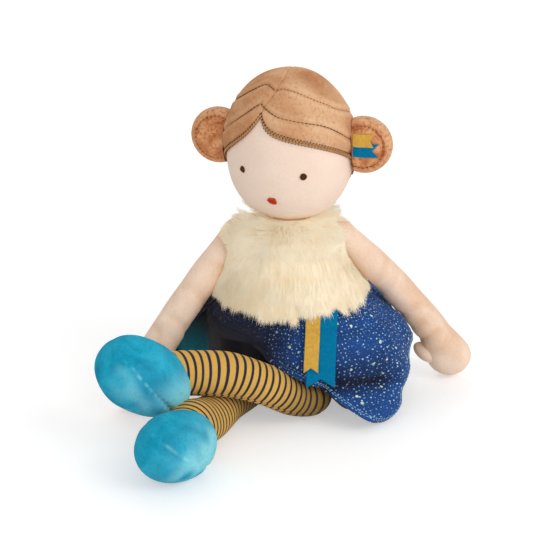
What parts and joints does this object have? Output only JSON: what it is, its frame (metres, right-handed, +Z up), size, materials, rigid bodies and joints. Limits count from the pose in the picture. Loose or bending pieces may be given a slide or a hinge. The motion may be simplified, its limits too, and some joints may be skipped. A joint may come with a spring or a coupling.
{
  "type": "rag doll",
  "caption": "Soft seated rag doll with stuffed body, crossed striped legs, fur vest, gathered lined skirt and hair buns.",
  "frame": {"origin": "middle of the flat seat on the surface that the doll sits on", "axes": "+Z up, the doll faces -Y, and its own left side is +X"},
  "size_m": [0.2486, 0.247, 0.2343],
  "materials": {
    "skin_cloth": "matte brushed cotton",
    "stuffing": "white fibre fill",
    "hair_velour": "crushed-nap velour",
    "brown_thread": "embroidery thread",
    "red_thread": "embroidery thread",
    "striped_stocking": "striped jersey",
    "boot_velour": "plush velour",
    "printed_cotton": "printed cotton with scattered dots",
    "teal_lining": "plain woven lining",
    "cream_fur": "long-pile fur",
    "teal_ribbon": "satin ribbon",
    "yellow_ribbon": "satin ribbon"
  },
  "bodies": {
    "torso": {"torso_skin": "skin_cloth", "torso_stuffing": "stuffing", "fur_vest": "cream_fur", "skirt_outer": "printed_cotton", "skirt_lining": "teal_lining"},
    "neck": {"neck": "skin_cloth"},
    "head": {"head_skin": "skin_cloth", "head_stuffing": "stuffing", "hair_left": "hair_velour", "hair_right": "hair_velour", "bun_left": "hair_velour", "bun_right": "hair_velour", "eye_left": "brown_thread", "eye_right": "brown_thread", "mouth": "red_thread"},
    "hair_ribbons": {"hair_ribbon_teal": "teal_ribbon", "hair_ribbon_yellow": "yellow_ribbon"},
    "waist_ribbons": {"waist_ribbon_teal": "teal_ribbon", "waist_ribbon_yellow": "yellow_ribbon"},
    "arm_left": {"arm_left": "skin_cloth"},
    "arm_right": {"arm_right": "skin_cloth"},
    "leg_left": {"leg_left": "striped_stocking", "boot_left": "boot_velour"},
    "leg_right": {"leg_right": "striped_stocking", "boot_right": "boot_velour"}
  },
  "joints": [
    {"name": "neck_turn", "type": "hinge", "parent": "torso", "child": "neck", "pos_m": [0, 0, 0.125], "axis": [0, 0, 1], "range_deg": [-25, 40]},
    {"name": "head_nod", "type": "hinge", "parent": "neck", "child": "head", "pos_m": [0, 0, 0.134], "axis": [0.9863, -0.165, 0], "range_deg": [-15, 15]},
    {"name": "shoulder_left", "type": "hinge", "parent": "torso", "child": "arm_left", "pos_m": [0.037, 0, 0.117], "axis": [0.3693, -0.9293, 0], "range_deg": [0, 95], "deforming": ["fur_vest"]},
    {"name": "shoulder_right", "type": "hinge", "parent": "torso", "child": "arm_right", "pos_m": [-0.037, 0, 0.117], "axis": [-0.5686, 0.8226, 0], "range_deg": [0, 95], "deforming": ["fur_vest"]},
    {"name": "hip_left", "type": "hinge", "parent": "torso", "child": "leg_left", "pos_m": [0.019, -0.026, 0.0156], "axis": [-0.5258, 0.8506, 0], "range_deg": [0, 35], "deforming": ["skirt_outer", "skirt_lining", "waist_ribbon_teal", "waist_ribbon_yellow"]},
    {"name": "hip_right", "type": "hinge", "parent": "torso", "child": "leg_right", "pos_m": [-0.019, -0.026, 0.0156], "axis": [0, 0, 1], "range_deg": [-5, 6]},
    {"name": "waist_ribbons_lift", "type": "hinge", "parent": "torso", "child": "waist_ribbons", "pos_m": [0.023, -0.0485, 0.07], "axis": [-1, 0, 0], "range_deg": [0, 80]},
    {"name": "hair_ribbons_flap", "type": "hinge", "parent": "head", "child": "hair_ribbons", "pos_m": [0.04234, -0.01662, 0.182], "axis": [0, 0, -1], "range_deg": [0, 45]}
  ]
}
